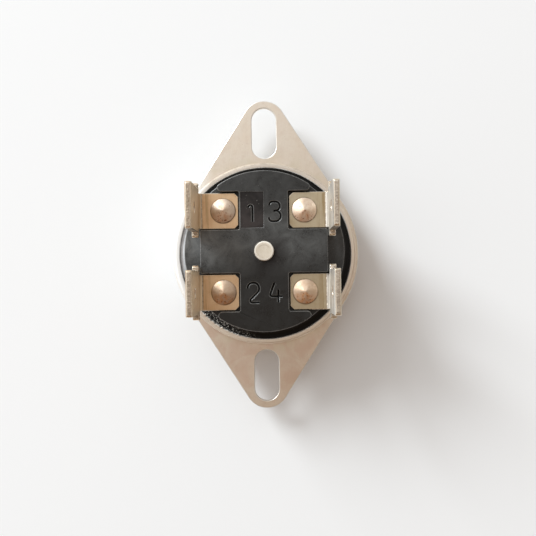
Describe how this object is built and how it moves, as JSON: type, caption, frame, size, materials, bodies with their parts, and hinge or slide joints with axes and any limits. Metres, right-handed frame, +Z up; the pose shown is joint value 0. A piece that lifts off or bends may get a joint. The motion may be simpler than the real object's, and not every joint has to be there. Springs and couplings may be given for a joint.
{
  "type": "overheat protector",
  "caption": "Round flange-mounted overheat protector with snap disc, upright push-on tabs, riveted terminals and a manual reset pin.",
  "frame": {"origin": "centre of the flat sensing face at the bottom of the cap", "axes": "+Z up from the sensing face to the terminals, +Y along the two flange ears, +X across them"},
  "size_m": [0.0382, 0.0632, 0.031],
  "materials": {
    "cap_aluminium": "drawn satin",
    "flange_steel": "satin",
    "bimetal": "rolled",
    "guide_moulding": "moulded",
    "ceramic": "unglazed steatite",
    "bar_moulding": "moulded",
    "phenolic": "moulded phenolic, half gloss",
    "terminal_sheet": "plated brass, stamped",
    "rivet": "plated, spun head",
    "spring_copper": "rolled spring alloy",
    "bracket_brass": "rolled",
    "contact_silver": "silver alloy"
  },
  "bodies": {
    "housing": {"sensing_cap": "cap_aluminium", "mounting_flange": "flange_steel", "bimetal_disc": "bimetal", "guide_plate": "guide_moulding", "switch_body": "phenolic", "terminal_1": "terminal_sheet", "terminal_2": "terminal_sheet", "terminal_3": "terminal_sheet", "terminal_4": "terminal_sheet", "terminal_rivet_1": "rivet", "terminal_rivet_2": "rivet", "terminal_rivet_3": "rivet", "terminal_rivet_4": "rivet", "contact_bracket_left": "bracket_brass", "fixed_contact_left": "contact_silver", "contact_bracket_right": "bracket_brass", "fixed_contact_right": "contact_silver"},
    "reset_slider": {"reset_pin": "ceramic", "cross_bar": "bar_moulding", "trip_rod": "ceramic"},
    "contact_leaf_left": {"contact_arm_left": "spring_copper", "moving_contact_left": "contact_silver"},
    "contact_leaf_right": {"contact_arm_right": "spring_copper", "moving_contact_right": "contact_silver"}
  },
  "joints": [
    {"name": "reset_travel", "type": "slide", "parent": "housing", "child": "reset_slider", "axis": [0, 0, 1], "range_m": [0, 0.001], "deforming": ["bimetal_disc"]},
    {"name": "leaf_lift_left", "type": "hinge", "parent": "housing", "child": "contact_leaf_left", "pos_m": [-0.00767, -0.0077, 0.01385], "axis": [1, 0, 0], "range_deg": [0, 7.6], "deforming": ["contact_arm_left"]},
    {"name": "leaf_lift_right", "type": "hinge", "parent": "housing", "child": "contact_leaf_right", "pos_m": [0.00767, -0.0077, 0.01385], "axis": [1, 0, 0], "range_deg": [0, 7.6], "deforming": ["contact_arm_right"]}
  ],
  "couplings": [
    {"joint": "leaf_lift_left", "follows": "reset_travel", "rad_per_m": 129.87},
    {"joint": "leaf_lift_right", "follows": "reset_travel", "rad_per_m": 129.87}
  ]
}
